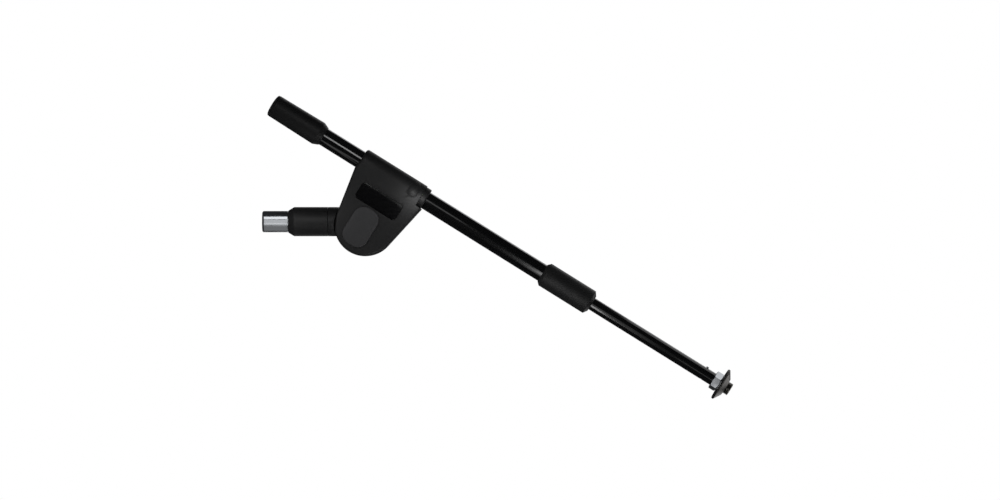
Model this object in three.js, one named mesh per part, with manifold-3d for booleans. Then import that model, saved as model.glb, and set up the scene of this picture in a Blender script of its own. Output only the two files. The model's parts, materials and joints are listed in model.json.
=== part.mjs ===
// Telescoping microphone boom arm: stand socket and knuckle, tilting clamp head, counterweighted
// outer tube, twist clutch, inner tube and threaded microphone end.
// Millimetres, +Z up along the stand. The boom lies in the XZ plane; -Y is the head's front.

import * as THREE from 'three';
import { mergeVertices } from 'three/addons/utils/BufferGeometryUtils.js';
import Module from 'manifold-3d';

const wasm = await Module();
wasm.setup();

// ---------------------------------------------------------------- driving dimensions

const GAP = 0.3; // air between pieces that touch on the real object
const RUN = 0.1; // radial clearance of a sliding or turning fit
const ROUND = 24; // facets round a tube or collar
const SMALL_ROUND = 16; // facets round a screw, pin or bore

// Stand socket, neck and knuckle, along the stand axis Z.
const THREAD_R = 7.95; // 5/8 inch stand thread
const SOCKET_R = 12.95;
const SOCKET_TOP = 31.6;
const SOCKET_BORE_DEPTH = 22;
const SHANK_R = 10;
const SHANK_TOP = 54;
const NECK_R = 17.8;
const NECK_CHAMFER = 7;
const NECK_TOP = 80;
const SPIGOT_R = 12;
const TONGUE_R = 26;
const TONGUE_HALF = 6;
const WEB_HALF = 13;

// Tilt pivot and the boom's lean from the stand axis.
const PIVOT = { x: 4.7, z: 125.7 };
const BOOM_LEAN = THREE.MathUtils.degToRad(31.93);
const BOOM_TO_PIVOT = 65.1;
const TILT_RANGE = THREE.MathUtils.degToRad(120);

// Clamp head, in the boom's own frame: x towards the pivot, y to the back, z along the boom.
const HEAD_HALF = 15.55; // half thickness, and the radius round the tube
const HEAD_END = 47; // half length along the tube
const SHOULDER = 12; // where the straight ends turn into the flanks
const DISC_R = 37.5; // round lower end, about the pivot
const CHEEK_INNER = 7.8; // inner face of each cheek
const SEAM_HALF = 0.15; // half the parting gap between the two shells
const BUSH_R = 13;
const COLLAR_R = 14.3;
const COLLAR_START = 39.5;
const BADGE = { x0: 20, x1: 42.6, z0: -30.3, z1: 27.7, corner: 5, depth: 1.4 };
const BOSS = { x: 1, z: 27.5, r: 14.5, proud: 1.6 };
const CAP = { x: 69.5, z: -3.6, width: 33, length: 50, thickness: 1.8 };
const BOLT_R = 4;
const DISC_PAD_R = 22;
const SCREW_PLACES = [[22, -38], [22, 38], [48, -34], [48, 34]];

// Knob on the back of the head.
const KNOB_BASE = 19.4;
const KNOB_HEIGHT = 20;
const KNOB_R = 23;
const KNOB_LOBES = 6;

// Boom, clutch and microphone end, as stations along the boom from the head's centre.
const TUBE_R = 11.1;
const TUBE_WALL = 1.2;
const TUBE_REAR = -168;
const TUBE_FRONT = 252;
const WEIGHT = { rear: -171.2, shoulder: -108, front: -100.7, rRear: 14.15, rFront: 14.95 };
const WEIGHT_CAP_END = -175;
const CLUTCH = { rear: 214.1, front: 284.9, r: 15.5, chamfer: 3.7 };
const INNER_R = 7.95;
const INNER_WALL = 1.2;
const INNER_REAR = 79;
const INNER_FRONT = 459;
const HEX = { rear: 459.3, front: 467.8, corner: 11.9, turn: THREE.MathUtils.degToRad(-19.5) };
const STUD_END = 483.7;
const RING = { rear: 468.3, rimRear: 469.2, rimFront: 471.6, front: 477.4, r: 20.5, hub: 11 };
const PIN_STATION = 446;

// ---------------------------------------------------------------- solids

/** Keep only position, merge shared corners, drop empty triangles and turn faces outwards. */
function closed(geometry) {
  const bare = new THREE.BufferGeometry();
  bare.setAttribute('position', geometry.getAttribute('position').clone());
  if (geometry.index) bare.setIndex(geometry.index.clone());
  const merged = mergeVertices(bare, 1e-4);
  const pos = merged.getAttribute('position');
  const kept = [];
  let volume = 0;
  const a = new THREE.Vector3();
  const b = new THREE.Vector3();
  const c = new THREE.Vector3();
  for (let i = 0; i < merged.index.count; i += 3) {
    const [p, q, r] = [0, 1, 2].map((k) => merged.index.getX(i + k));
    if (p === q || q === r || r === p) continue;
    kept.push(p, q, r);
    a.fromBufferAttribute(pos, p);
    b.fromBufferAttribute(pos, q);
    c.fromBufferAttribute(pos, r);
    volume += a.dot(b.cross(c));
  }
  if (volume < 0) kept.reverse();
  merged.setIndex(kept);
  return merged;
}

function toSolid(geometry) {
  const clean = closed(geometry);
  return new wasm.Manifold(new wasm.Mesh({
    numProp: 3,
    vertProperties: new Float32Array(clean.getAttribute('position').array),
    triVerts: new Uint32Array(clean.index.array),
  }));
}

function fromSolid(solid) {
  const mesh = solid.getMesh();
  const geometry = new THREE.BufferGeometry();
  geometry.setAttribute('position', new THREE.BufferAttribute(mesh.vertProperties, 3));
  geometry.setIndex(new THREE.BufferAttribute(mesh.triVerts, 1));
  geometry.computeVertexNormals();
  return geometry;
}

function cut(body, ...tools) {
  return fromSolid(tools.reduce((solid, tool) => solid.subtract(toSolid(tool)), toSolid(body)));
}

function join(body, ...others) {
  return fromSolid(others.reduce((solid, other) => solid.add(toSolid(other)), toSolid(body)));
}

function common(body, other) {
  return fromSolid(toSolid(body).intersect(toSolid(other)));
}

/** Solid of revolution about Z from [radius, z] points; a profile off the axis closes on itself. */
function turned(profile, segments = ROUND) {
  const points = profile.map(([r, z]) => new THREE.Vector2(r, z));
  const onAxis = profile[0][0] === 0;
  if (!onAxis) points.push(points[0].clone());
  const geometry = new THREE.LatheGeometry(points, segments);
  geometry.rotateX(Math.PI / 2);
  return closed(geometry);
}

function rod(r, z0, z1, segments = SMALL_ROUND) {
  return turned([[0, z0], [r, z0], [r, z1], [0, z1]], segments);
}

function ring(rIn, rOut, z0, z1, segments = ROUND) {
  return turned([[rIn, z0], [rOut, z0], [rOut, z1], [rIn, z1]], segments);
}

/** Turn a solid made along Z so that it runs along +Y, then move it to (x, z). */
function alongY(geometry, x = 0, z = 0) {
  geometry.rotateX(-Math.PI / 2);
  geometry.translate(x, 0, z);
  return geometry;
}

/** Flat plate with its outline in x and z, between two y levels. */
function plate(shape, y0, y1, curveSegments = 6) {
  const geometry = new THREE.ExtrudeGeometry(shape, { depth: y1 - y0, bevelEnabled: false, curveSegments });
  geometry.translate(0, 0, -y1);
  geometry.rotateX(Math.PI / 2);
  return closed(geometry);
}

function block(x0, x1, y0, y1, z0, z1) {
  const geometry = new THREE.BoxGeometry(x1 - x0, y1 - y0, z1 - z0);
  geometry.translate((x0 + x1) / 2, (y0 + y1) / 2, (z0 + z1) / 2);
  return closed(geometry);
}

/** Rectangle with round corners, centred on (x, z). */
function roundedRect(x, z, width, length, corner) {
  const shape = new THREE.Shape();
  const [x0, x1] = [x - width / 2, x + width / 2];
  const [z0, z1] = [z - length / 2, z + length / 2];
  shape.moveTo(x0 + corner, z0);
  shape.lineTo(x1 - corner, z0);
  shape.absarc(x1 - corner, z0 + corner, corner, -Math.PI / 2, 0);
  shape.lineTo(x1, z1 - corner);
  shape.absarc(x1 - corner, z1 - corner, corner, 0, Math.PI / 2);
  shape.lineTo(x0 + corner, z1);
  shape.absarc(x0 + corner, z1 - corner, corner, Math.PI / 2, Math.PI);
  shape.lineTo(x0, z0 + corner);
  shape.absarc(x0 + corner, z0 + corner, corner, Math.PI, 1.5 * Math.PI);
  return shape;
}

// ---------------------------------------------------------------- finishes and placing

const FINISH = {
  chrome: { color: 0xc9ccd0, roughness: 0.18, metalness: 1 },
  steel: { color: 0xb4b7bb, roughness: 0.35, metalness: 1 },
  brass: { color: 0xb59a55, roughness: 0.35, metalness: 1 },
  blackSteel: { color: 0x0b0b0c, roughness: 0.12, metalness: 0.2 },
  blackSatin: { color: 0x1d1d1f, roughness: 0.5, metalness: 0 },
  blackGloss: { color: 0x060607, roughness: 0.15, metalness: 0 },
  greyPlastic: { color: 0x3a3a3c, roughness: 0.6, metalness: 0 },
  nylon: { color: 0x8c8a84, roughness: 0.5, metalness: 0 },
  fibre: { color: 0x5a4636, roughness: 0.9, metalness: 0 },
};

function piece(parent, name, geometry, finish) {
  const mesh = new THREE.Mesh(geometry, new THREE.MeshStandardMaterial(FINISH[finish]));
  mesh.name = name;
  parent.add(mesh);
  return mesh;
}

const arm = new THREE.Group();
const stand = new THREE.Group();
const boom = new THREE.Group();
boom.rotation.y = BOOM_LEAN;
boom.position.set(
  PIVOT.x - BOOM_TO_PIVOT * Math.cos(BOOM_LEAN),
  0,
  PIVOT.z + BOOM_TO_PIVOT * Math.sin(BOOM_LEAN),
);
arm.add(stand, boom);

// ---------------------------------------------------------------- clamp head outline

/** Outline of the head below the tube, grown by an amount on every side. */
function headOutline(grow) {
  const [r, end] = [DISC_R + grow, HEAD_END + 1 + grow];
  const reach = Math.hypot(BOOM_TO_PIVOT - SHOULDER, end);
  const towards = Math.atan2(end, BOOM_TO_PIVOT - SHOULDER);
  const flank = Math.asin(r / reach) - towards;
  const shape = new THREE.Shape();
  shape.moveTo(0, end - 1);
  shape.lineTo(0, -end + 1);
  shape.lineTo(SHOULDER, -end);
  shape.absarc(BOOM_TO_PIVOT, 0, r, -Math.PI / 2 - flank, Math.PI / 2 + flank);
  shape.lineTo(SHOULDER, end);
  return shape;
}

// ---------------------------------------------------------------- stand side

function socketGeometry() {
  const round = 2.2;
  const lead = 0.8;
  const arc = [];
  for (let i = 0; i <= 4; i += 1) {
    const turn = (i / 4) * Math.PI / 2;
    arc.push([SOCKET_R - round + round * Math.sin(turn), round - round * Math.cos(turn)]);
  }
  const body = turned([
    [THREAD_R + lead, 0],
    ...arc,
    [SOCKET_R, SOCKET_TOP],
    [SHANK_R, SOCKET_TOP],
    [SHANK_R, SHANK_TOP],
    [4, SHANK_TOP],
    [4, SOCKET_BORE_DEPTH],
    [THREAD_R, SOCKET_BORE_DEPTH],
    [THREAD_R, lead],
  ]);
  return body;
}

function neckGeometry() {
  const seat = SOCKET_TOP + GAP;
  const step = SHANK_TOP + GAP;
  const body = turned([
    [SHANK_R + GAP, seat],
    [SOCKET_R + 0.6, seat],
    [NECK_R, seat + NECK_CHAMFER],
    [NECK_R, NECK_TOP],
    [SPIGOT_R + GAP, NECK_TOP],
    [SPIGOT_R + GAP, step],
    [SHANK_R + GAP, step],
  ]);
  const holes = [46, 68].map((z) => alongY(rod(2.8, 8, 20), 0, z));
  return cut(body, ...holes);
}

/** Round top of the neck, hollowed to follow the head, with the tongue that the head clamps. */
function knuckleGeometry() {
  const body = rod(NECK_R, NECK_TOP + GAP, PIVOT.z, ROUND);
  const spigot = rod(SPIGOT_R, SHANK_TOP + 2 * GAP, NECK_TOP + 1, ROUND);
  const sweep = alongY(rod(DISC_R + 0.6, -30, 30, 2 * ROUND), PIVOT.x, PIVOT.z);
  const rest = plate(headOutline(0.6), -30, 30, ROUND);
  rest.rotateY(BOOM_LEAN);
  rest.translate(boom.position.x, 0, boom.position.z);
  const collar = cut(body, sweep, rest);
  const web = block(PIVOT.x - WEB_HALF, PIVOT.x + WEB_HALF, -TONGUE_HALF, TONGUE_HALF, NECK_TOP + 2, PIVOT.z);
  const disc = alongY(rod(TONGUE_R, -TONGUE_HALF, TONGUE_HALF, ROUND), PIVOT.x, PIVOT.z);
  const tongue = join(disc, web);
  const inNeck = join(collar, spigot, tongue);
  return cut(inNeck, alongY(rod(BOLT_R + GAP, -10, 10), PIVOT.x, PIVOT.z));
}

piece(stand, 'stand_socket', socketGeometry(), 'chrome');
piece(stand, 'neck_sleeve', neckGeometry(), 'blackSatin');
piece(stand, 'knuckle', knuckleGeometry(), 'blackSatin');
piece(stand, 'socket_grub_screw', alongY(rod(2.5, SHANK_R + GAP, 17.2), 0, 46), 'steel');
piece(stand, 'knuckle_grub_screw', alongY(rod(2.5, SPIGOT_R + GAP, 17.2), 0, 68), 'steel');

// ---------------------------------------------------------------- clamp head

/** Space between the cheeks that the tongue and its web sweep through as the boom tilts. */
function tongueSpace() {
  const half = WEB_HALF + 1;
  const far = 75;
  const shape = new THREE.Shape();
  for (const [side, angle] of [[-1, BOOM_LEAN - Math.PI / 2], [1, BOOM_LEAN - Math.PI / 2 + TILT_RANGE]]) {
    const [dx, dz] = [Math.cos(angle), Math.sin(angle)];
    const near = [BOOM_TO_PIVOT - side * half * dz, side * half * dx];
    const outer = [near[0] + far * dx, near[1] + far * dz];
    const ordered = side < 0 ? [near, outer] : [outer, near];
    for (const [i, [x, z]] of ordered.entries()) {
      if (side < 0 && i === 0) shape.moveTo(x, z);
      else shape.lineTo(x, z);
    }
    if (side < 0) {
      shape.lineTo(BOOM_TO_PIVOT + far, -far / 2);
      shape.lineTo(BOOM_TO_PIVOT + far, far / 2);
    }
  }
  const wedge = plate(shape, -CHEEK_INNER, CHEEK_INNER);
  const round = alongY(rod(TONGUE_R + 1, -CHEEK_INNER, CHEEK_INNER, ROUND), BOOM_TO_PIVOT, 0);
  return join(round, wedge);
}

/** The whole clamp head as one block: sleeve round the tube and the body below it. */
function headBlock() {
  const sleeve = turned([
    [0, -HEAD_END],
    [HEAD_HALF - 3.4, -HEAD_END],
    [HEAD_HALF - 1, -HEAD_END + 1],
    [HEAD_HALF, -HEAD_END + 3.4],
    [HEAD_HALF, COLLAR_START],
    [0, COLLAR_START],
  ]);
  const body = plate(headOutline(0), -HEAD_HALF, HEAD_HALF, ROUND);
  const boss = alongY(turned([
    [0, 0],
    [BOSS.r, 0],
    [BOSS.r, HEAD_HALF],
    [BOSS.r - 3, HEAD_HALF + BOSS.proud],
    [0, HEAD_HALF + BOSS.proud],
  ], 24));
  boss.rotateX(Math.PI);
  boss.translate(BOSS.x, 0, BOSS.z);
  return cut(
    join(sleeve, body, boss),
    rod(BUSH_R + GAP, -HEAD_END - 5, HEAD_END + 5, ROUND),
    rod(COLLAR_R + GAP, COLLAR_START - GAP, HEAD_END + 5, ROUND),
    tongueSpace(),
    alongY(rod(BOLT_R + GAP, -30, 30), BOOM_TO_PIVOT, 0),
  );
}

function shellGeometry(side) {
  const [y0, y1] = side < 0 ? [-30, -SEAM_HALF] : [SEAM_HALF, 30];
  return common(headBlock(), block(-40, 130, y0, y1, -70, 70));
}

const badgeShape = (shrink) => roundedRect(
  (BADGE.x0 + BADGE.x1) / 2,
  (BADGE.z0 + BADGE.z1) / 2,
  BADGE.x1 - BADGE.x0 - 2 * shrink,
  BADGE.z1 - BADGE.z0 - 2 * shrink,
  BADGE.corner - shrink,
);

const frontShell = cut(
  shellGeometry(-1),
  plate(badgeShape(0), -30, -HEAD_HALF + BADGE.depth),
  alongY(rod(9.5, -30, -10.8, 20), BOOM_TO_PIVOT, 0),
  ...SCREW_PLACES.map(([x, z]) => alongY(rod(3.4, -12, 1), x, z)),
);
const rearShell = cut(
  shellGeometry(1),
  ...SCREW_PLACES.flatMap(([x, z]) => [
    alongY(rod(2.3, -1, 20), x, z),
    alongY(rod(4.2, 11.8, 20), x, z),
  ]),
);
piece(boom, 'front_shell', frontShell, 'blackSatin');
piece(boom, 'rear_shell', rearShell, 'blackSatin');

/** Split nylon liner that the boom slides in. */
const bushing = cut(
  ring(TUBE_R + RUN, BUSH_R, -HEAD_END + 0.6, HEAD_END - 0.8),
  block(-20, 0, -0.8, 0.8, -60, 60),
);
piece(boom, 'tube_bushing', bushing, 'nylon');

const collar = turned([
  [BUSH_R + GAP, COLLAR_START + GAP],
  [COLLAR_R, COLLAR_START + GAP],
  [COLLAR_R, HEAD_END - 2],
  [COLLAR_R - 0.6, HEAD_END - 0.6],
  [BUSH_R + GAP, HEAD_END - 0.6],
]);
piece(boom, 'end_collar', collar, 'blackSatin');

for (const [name, side] of [['friction_disc_front', -1], ['friction_disc_rear', 1]]) {
  const middle = side * (TONGUE_HALF + CHEEK_INNER) / 2;
  const disc = alongY(ring(BOLT_R + 1, DISC_PAD_R, middle - 0.6, middle + 0.6, 24), BOOM_TO_PIVOT, 0);
  piece(boom, name, disc, 'fibre');
}

/** Pivot bolt: hex head under the front cap, thread into the knob at the back. */
function boltGeometry() {
  const head = alongY(rod(7.6, -15.4, -12.1, 6), BOOM_TO_PIVOT, 0);
  const shaft = alongY(rod(BOLT_R, -12.2, KNOB_BASE + 13), BOOM_TO_PIVOT, 0);
  return join(head, shaft);
}

piece(boom, 'pivot_bolt', boltGeometry(), 'steel');
piece(boom, 'bolt_washer', alongY(ring(BOLT_R + GAP, 8.6, -11.8, -11.1, 20), BOOM_TO_PIVOT, 0), 'steel');
piece(boom, 'rear_washer', alongY(ring(BOLT_R + GAP, 12, HEAD_HALF + GAP, 17.2, 20), BOOM_TO_PIVOT, 0), 'steel');
piece(boom, 'spring_washer', alongY(ring(BOLT_R + GAP, 9, 17.5, 19.1, 20), BOOM_TO_PIVOT, 0), 'steel');

for (const [i, [x, z]] of SCREW_PLACES.entries()) {
  const screw = join(alongY(rod(2, -8, 13), x, z), alongY(rod(3.8, 12.2, 15), x, z));
  piece(boom, `shell_screw_${i + 1}`, screw, 'steel');
  piece(boom, `screw_insert_${i + 1}`, alongY(ring(2.2, 3.1, -10, -0.8, SMALL_ROUND), x, z), 'brass');
}

piece(boom, 'badge_plate', plate(badgeShape(GAP), -HEAD_HALF + 0.2, -HEAD_HALF + BADGE.depth - GAP), 'blackGloss');

const capShape = roundedRect(CAP.x, CAP.z, CAP.length, CAP.width, CAP.width / 2 - 3);
piece(boom, 'pivot_cap', plate(capShape, -HEAD_HALF - GAP - CAP.thickness, -HEAD_HALF - GAP), 'greyPlastic');

// ---------------------------------------------------------------- clamp knob

/** Lobed hand knob: its radius swells and dips evenly round the rim. */
function knobGeometry() {
  const shape = new THREE.Shape();
  const steps = KNOB_LOBES * 6;
  for (let i = 0; i < steps; i += 1) {
    const turn = (i / steps) * 2 * Math.PI;
    const r = KNOB_R - 1.8 + 1.8 * Math.cos(KNOB_LOBES * turn);
    const place = [BOOM_TO_PIVOT + r * Math.cos(turn), r * Math.sin(turn)];
    if (i === 0) shape.moveTo(...place);
    else shape.lineTo(...place);
  }
  const grip = plate(shape, KNOB_BASE + 6, KNOB_BASE + KNOB_HEIGHT);
  const hub = alongY(rod(12, KNOB_BASE, KNOB_BASE + 7, 24), BOOM_TO_PIVOT, 0);
  return cut(
    join(grip, hub),
    alongY(rod(7.8, KNOB_BASE - 1, KNOB_BASE + 15), BOOM_TO_PIVOT, 0),
    alongY(rod(10.5, KNOB_BASE + KNOB_HEIGHT - 2, KNOB_BASE + KNOB_HEIGHT + 2, 24), BOOM_TO_PIVOT, 0),
  );
}

piece(boom, 'clamp_knob', knobGeometry(), 'blackSatin');
const insert = ring(BOLT_R + RUN, 7.5, KNOB_BASE + 0.4, KNOB_BASE + 14.6, SMALL_ROUND);
piece(boom, 'knob_insert', alongY(insert, BOOM_TO_PIVOT, 0), 'brass');
const knobCap = rod(10.2, KNOB_BASE + KNOB_HEIGHT - 1.7, KNOB_BASE + KNOB_HEIGHT + 0.4, 24);
piece(boom, 'knob_cap', alongY(knobCap, BOOM_TO_PIVOT, 0), 'greyPlastic');

// ---------------------------------------------------------------- outer tube and counterweight

piece(boom, 'outer_tube', ring(TUBE_R - TUBE_WALL, TUBE_R, TUBE_REAR, TUBE_FRONT), 'blackSteel');

const weightSleeve = cut(
  turned([
    [TUBE_R + GAP, WEIGHT.rear],
    [WEIGHT.rRear, WEIGHT.rear],
    [WEIGHT.rFront, WEIGHT.shoulder],
    [TUBE_R + 0.7, WEIGHT.front],
    [TUBE_R + GAP, WEIGHT.front],
  ]),
  alongY(rod(3.3, 8, 20), 0, -125),
);
piece(boom, 'counterweight', weightSleeve, 'blackSatin');
piece(boom, 'weight_set_screw', alongY(rod(3, TUBE_R + GAP, 14.2), 0, -125), 'steel');
piece(boom, 'weight_core', rod(TUBE_R - TUBE_WALL - GAP, -157, -104, ROUND), 'steel');

/** Domed plug that closes the weight and the tube behind it. */
function weightCapGeometry() {
  const rim = WEIGHT.rear - GAP;
  const profile = [[0, WEIGHT_CAP_END]];
  for (let i = 1; i <= 4; i += 1) {
    const turn = (i / 4) * Math.PI / 2;
    const z = rim - (rim - WEIGHT_CAP_END) * Math.cos(turn) ** 0.8;
    profile.push([(WEIGHT.rRear - 0.1) * Math.sin(turn) ** 0.7, z]);
  }
  profile.push([TUBE_R - TUBE_WALL - GAP, rim], [TUBE_R - TUBE_WALL - GAP, -158], [0, -158]);
  return turned(profile);
}

piece(boom, 'weight_cap', weightCapGeometry(), 'blackSatin');

// ---------------------------------------------------------------- twist clutch

piece(boom, 'thrust_washer', ring(TUBE_R + GAP, 13.2, 219.4, 220.6), 'nylon');
piece(boom, 'clutch_body', ring(TUBE_R + GAP, 13.2, 221, TUBE_FRONT + 0.5), 'nylon');

const slots = [0, 1, 2, 3].map((i) => {
  const slot = block(6, 14, -0.6, 0.6, 262, 290);
  slot.rotateZ((i * Math.PI) / 2 + Math.PI / 4);
  return slot;
});
const collet = cut(
  turned([
    [INNER_R + RUN, TUBE_FRONT + 1],
    [12.6, TUBE_FRONT + 1],
    [12.6, TUBE_FRONT + 4],
    [10.6, TUBE_FRONT + 6],
    [10.6, 270],
    [9, 280.5],
    [INNER_R + RUN, 280.5],
  ]),
  ...slots,
);
piece(boom, 'collet', collet, 'nylon');

const clutchSleeve = turned([
  [TUBE_R + 2 * RUN, CLUTCH.rear],
  [TUBE_R + 0.7, CLUTCH.rear],
  [CLUTCH.r, CLUTCH.rear + CLUTCH.chamfer],
  [CLUTCH.r, CLUTCH.front - CLUTCH.chamfer],
  [10.2, CLUTCH.front],
  [INNER_R + 2 * RUN, CLUTCH.front],
  [INNER_R + 2 * RUN, 282.5],
  [9.5, 281],
  [11.2, 269.6],
  [13.5, 262],
  [13.5, 219],
  [TUBE_R + 2 * RUN, 219],
]);
piece(boom, 'clutch_sleeve', clutchSleeve, 'blackSatin');

// ---------------------------------------------------------------- inner tube and microphone end

/** Cross pin through the inner tube, with its head standing proud on the side away from the pivot. */
function crossRod(r, x0, x1) {
  const pin = rod(r, x0, x1);
  pin.rotateY(Math.PI / 2);
  pin.translate(0, 0, PIN_STATION);
  return pin;
}

const innerTube = cut(ring(INNER_R - INNER_WALL, INNER_R, INNER_REAR, INNER_FRONT), crossRod(1.9, -12, 12));
piece(boom, 'inner_tube', innerTube, 'blackSteel');
piece(boom, 'guide_bushing', ring(INNER_R + 0.15, TUBE_R - TUBE_WALL - RUN, INNER_REAR + 1, INNER_REAR + 17), 'nylon');

const hexagon = rod(HEX.corner, HEX.rear, HEX.front, 6);
hexagon.rotateZ(HEX.turn);
const tipFitting = cut(
  join(
    hexagon,
    rod(INNER_R - INNER_WALL - GAP, PIN_STATION - 8, HEX.rear + 1),
  ),
  rod(5.3, PIN_STATION + 6, HEX.front + 2),
  crossRod(1.9, -12, 12),
);
piece(boom, 'tip_fitting', tipFitting, 'chrome');

const stud = turned([
  [0, PIN_STATION + 7],
  [5, PIN_STATION + 7],
  [5, HEX.front + GAP],
  [INNER_R, HEX.front + GAP],
  [INNER_R, STUD_END - 1.2],
  [INNER_R - 1.2, STUD_END],
  [0, STUD_END],
]);
piece(boom, 'mic_stud', stud, 'steel');
piece(boom, 'tip_pin', crossRod(1.6, -9.6, 7.6), 'steel');

const lockRing = turned([
  [INNER_R + 0.2, RING.rear],
  [RING.hub, RING.rear],
  [RING.r, RING.rimRear],
  [RING.r, RING.rimFront],
  [RING.hub, RING.front],
  [INNER_R + 0.2, RING.front],
]);
piece(boom, 'lock_ring', lockRing, 'steel');

export default arm;
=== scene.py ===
import json
import math

import bpy
from mathutils import Matrix, Vector


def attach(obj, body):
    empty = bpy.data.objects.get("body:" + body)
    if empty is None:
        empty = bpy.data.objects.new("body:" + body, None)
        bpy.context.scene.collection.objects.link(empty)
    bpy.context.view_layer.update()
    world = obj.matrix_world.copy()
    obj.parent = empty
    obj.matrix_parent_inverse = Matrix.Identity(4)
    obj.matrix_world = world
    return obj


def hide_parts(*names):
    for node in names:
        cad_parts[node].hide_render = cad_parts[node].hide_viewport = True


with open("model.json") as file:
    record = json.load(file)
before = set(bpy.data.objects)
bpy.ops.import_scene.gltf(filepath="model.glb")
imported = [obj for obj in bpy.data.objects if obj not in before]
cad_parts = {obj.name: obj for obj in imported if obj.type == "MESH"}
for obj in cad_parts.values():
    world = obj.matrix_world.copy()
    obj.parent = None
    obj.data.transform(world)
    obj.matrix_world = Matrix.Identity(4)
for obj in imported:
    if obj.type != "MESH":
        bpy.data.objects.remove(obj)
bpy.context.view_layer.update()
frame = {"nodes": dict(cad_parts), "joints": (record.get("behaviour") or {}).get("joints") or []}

# ---------------------------------------------------------------------------------------------
# Stand socket
# Turned steel, bright chrome plated. It screws on to the stand with the 5/8-27 thread inside its
# rounded mouth, and its plain shank goes up into the neck.
# ---------------------------------------------------------------------------------------------

MM = 0.001
STAND = Matrix.Identity(4)


def linear(hex_colour):
    """Scene-linear RGBA from an sRGB hex colour such as #1c1c1e."""
    channels = [int(hex_colour[i:i + 2], 16) / 255 for i in (1, 3, 5)]
    return tuple(c / 12.92 if c <= 0.04045 else ((c + 0.055) / 1.055) ** 2.4 for c in channels) + (1.0,)


def add(tree, kind, inputs=None, **settings):
    """A new node in the tree: settings are its own properties, inputs are values or sockets to link."""
    node = tree.nodes.new(kind)
    for key, value in settings.items():
        setattr(node, key, value)
    for key, value in (inputs or {}).items():
        socket = node.inputs[key]
        if isinstance(value, bpy.types.NodeSocket):
            tree.links.new(value, socket)
        else:
            socket.default_value = value
    return node


def new_material(name, **shader_values):
    """A material with one Principled shader, and the object coordinates that its patterns read."""
    material = bpy.data.materials.new(name)
    material.use_nodes = True
    tree = material.node_tree
    shader = tree.nodes["Principled BSDF"]
    for key, value in shader_values.items():
        shader.inputs[key.replace("_", " ")].default_value = value
    place = add(tree, "ShaderNodeTexCoord").outputs["Object"]
    return material, tree, shader, place


def spread(tree, value, low, high):
    """A noise value stretched to run from low to high."""
    inputs = {"Value": value, "From Min": 0.3, "From Max": 0.7, "To Min": low, "To Max": high}
    return add(tree, "ShaderNodeMapRange", inputs).outputs["Result"]


def noise(tree, place, size_mm, detail=2.0, stretch=None):
    """Noise whose blobs are about size_mm across, drawn out by the stretch factors where given."""
    if stretch:
        place = add(tree, "ShaderNodeMapping", {"Vector": place, **stretch}).outputs["Vector"]
    inputs = {"Vector": place, "Scale": 1 / (size_mm * MM), "Detail": detail, "Roughness": 0.55}
    return add(tree, "ShaderNodeTexNoise", inputs).outputs["Fac"]


def relief(tree, shader, height, depth_mm, under=None):
    """Bump of the given depth on the shader's normal, over another bump where given."""
    inputs = {"Height": height, "Distance": depth_mm * MM, "Strength": 1.0}
    if under:
        inputs["Normal"] = under
    bump = add(tree, "ShaderNodeBump", inputs).outputs["Normal"]
    tree.links.new(bump, shader.inputs["Normal"])
    return bump


def filleted(corners, steps=5):
    """Profile points from (radius, height, fillet) corners, each fillet an arc tangent to both sides."""
    points = []
    for i, (r, z, fillet) in enumerate(corners):
        here = Vector((r, z))
        if not fillet:
            points.append((r, z))
            continue
        before = (Vector(corners[i - 1][:2]) - here).normalized()
        after = (Vector(corners[(i + 1) % len(corners)][:2]) - here).normalized()
        half = before.angle(after) / 2
        centre = here + (before + after).normalized() * fillet / math.sin(half)
        start = here + before * fillet / math.tan(half) - centre
        end = here + after * fillet / math.tan(half) - centre
        sweep = start.angle(end)
        for k in range(steps + 1):
            a, b = math.sin((1 - k / steps) * sweep), math.sin(k / steps * sweep)
            points.append(tuple(centre + (start * a + end * b) / math.sin(sweep)))
    return points


def new_piece(name, verts, faces, place, material):
    """A closed mesh from points in mm, placed in the frame, smooth with sharp edges kept."""
    import bmesh
    mesh = bpy.data.meshes.new(name)
    mesh.from_pydata([place @ (Vector(v) * MM) for v in verts], [], faces)
    bm = bmesh.new()
    bm.from_mesh(mesh)
    bmesh.ops.remove_doubles(bm, verts=bm.verts, dist=1e-7)
    bmesh.ops.recalc_face_normals(bm, faces=bm.faces)
    bm.to_mesh(mesh)
    bm.free()
    mesh.shade_smooth()
    mesh.set_sharp_from_angle(angle=math.radians(32))
    mesh.materials.append(material)
    piece = bpy.data.objects.new(name, mesh)
    bpy.context.scene.collection.objects.link(piece)
    return piece


def held(rows, margin=0.4):
    """The rows with one more near both ends of each long straight run, so that it is shaded straight."""
    kept = []
    for row, after in zip(rows, rows[1:] + rows[:1]):
        kept.append(row)
        if callable(row) or callable(after) or row[0] == after[0] == 0:
            continue
        run = math.dist(row, after)
        if run > 4 * margin:
            for share in (margin / run, 1 - margin / run):
                kept.append((row[0] + (after[0] - row[0]) * share, row[1] + (after[1] - row[1]) * share))
    return kept


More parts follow.
